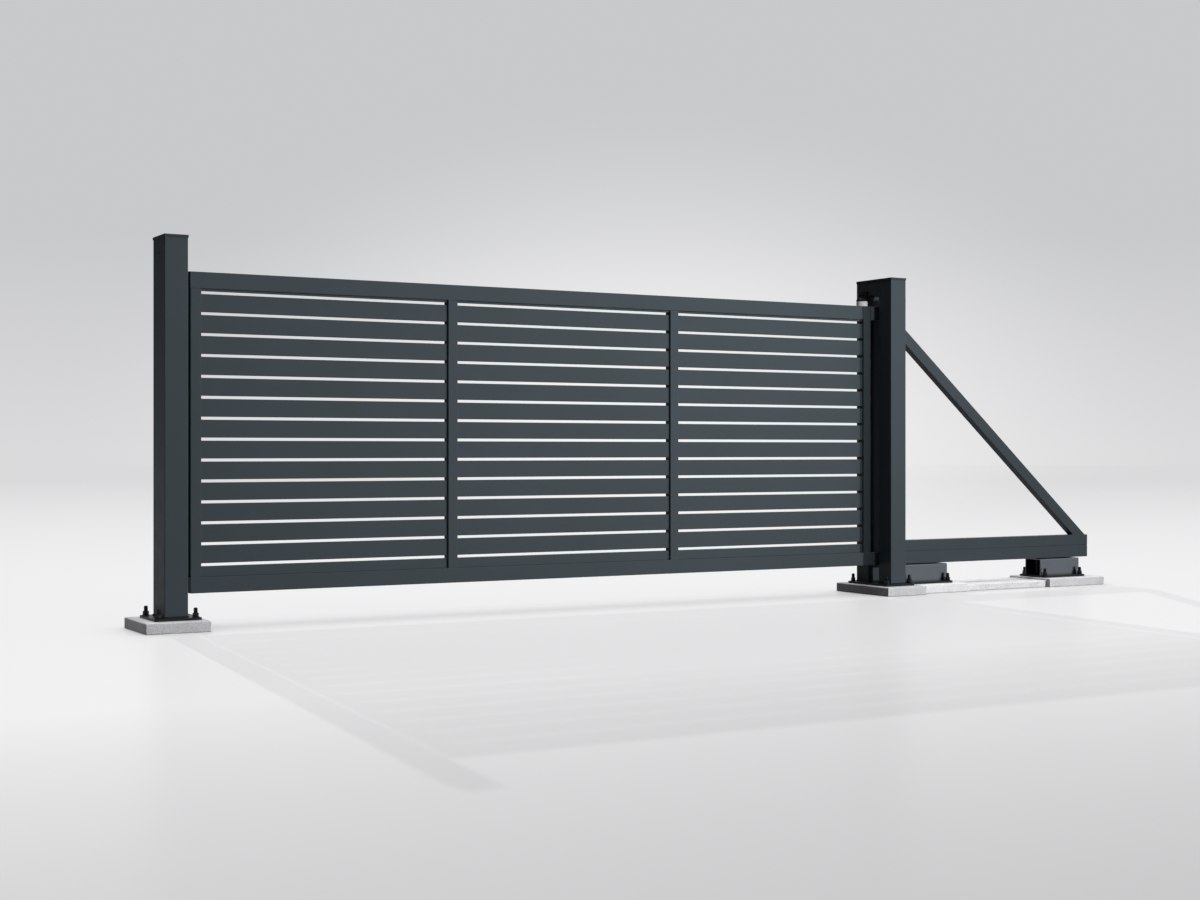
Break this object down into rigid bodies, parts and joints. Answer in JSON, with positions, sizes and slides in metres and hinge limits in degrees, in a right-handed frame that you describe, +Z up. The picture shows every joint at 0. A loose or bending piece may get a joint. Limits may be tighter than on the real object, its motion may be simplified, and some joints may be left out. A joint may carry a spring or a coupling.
{
  "type": "cantilever sliding driveway gate",
  "caption": "Slatted anthracite sliding driveway gate on a bottom track over roller carriages, with a receiving post, a guide portal and a braced counterbalance tail.",
  "frame": {"origin": "centre of the underside of the portal's concrete pad", "axes": "+X along the gate towards the counterbalance tail, +Y away from the street side, +Z up"},
  "size_m": [5.985, 0.475, 1.825],
  "materials": {
    "anthracite": "anthracite grey powder coat, fine satin texture",
    "slat": "anthracite grey powder coat, fine satin texture",
    "cap": "anthracite grey powder coat",
    "plate": "dark grey coated steel plate",
    "carriage": "galvanised sheet steel, satin blue-grey",
    "steel": "zinc plated steel",
    "nylon": "white nylon",
    "nylon_dark": "dark nylon",
    "rubber": "black extruded rubber",
    "concrete": "light grey cast concrete, fine speckle"
  },
  "bodies": {
    "posts_and_pads": {"receiver_pad": "concrete", "receiver_base_plate": "plate", "receiver_post": "anthracite", "receiver_cap": "cap", "portal_pad": "concrete", "portal_base_plate": "plate", "portal_front_leg": "anthracite", "portal_rear_leg": "anthracite", "portal_bridge": "anthracite", "portal_cap": "cap", "front_carriage_pad": "concrete", "link_pad": "concrete", "rear_carriage_pad": "concrete", "front_carriage_plate": "plate", "front_carriage_housing": "carriage", "front_carriage_stem": "plate", "front_carriage_axles": "steel", "front_carriage_wheels": "nylon_dark", "front_guide_bracket": "plate", "front_guide_pin": "steel", "rear_carriage_plate": "plate", "rear_carriage_housing": "carriage", "rear_carriage_stem": "plate", "rear_carriage_axles": "steel", "rear_carriage_wheels": "nylon_dark", "rear_guide_bracket": "plate", "rear_guide_pin": "steel"},
    "leaf": {"bottom_track": "anthracite", "closing_end_cap": "cap", "tail_end_caps": "cap", "top_rail": "anthracite", "closing_stile": "anthracite", "mullion_1": "anthracite", "mullion_2": "anthracite", "inner_stile": "anthracite", "slats_bay_1": "slat", "slats_bay_2": "slat", "slats_bay_3": "slat", "tail_stile": "anthracite", "tail_rail": "anthracite", "tail_brace": "anthracite", "closing_strip": "rubber"},
    "rear_roller": {"rear_guide_roller": "nylon"},
    "front_roller": {"front_guide_roller": "nylon"}
  },
  "joints": [
    {"name": "gate_slide", "type": "slide", "parent": "posts_and_pads", "child": "leaf", "axis": [1, 0, 0], "range_m": [0, 4]},
    {"name": "rear_roller_turn", "type": "hinge", "parent": "posts_and_pads", "child": "rear_roller", "pos_m": [-0.092, 0.0593, 1.673], "axis": [0, 0, 1], "continuous": true},
    {"name": "front_roller_turn", "type": "hinge", "parent": "posts_and_pads", "child": "front_roller", "pos_m": [0.092, -0.0593, 1.673], "axis": [0, 0, 1], "continuous": true}
  ]
}
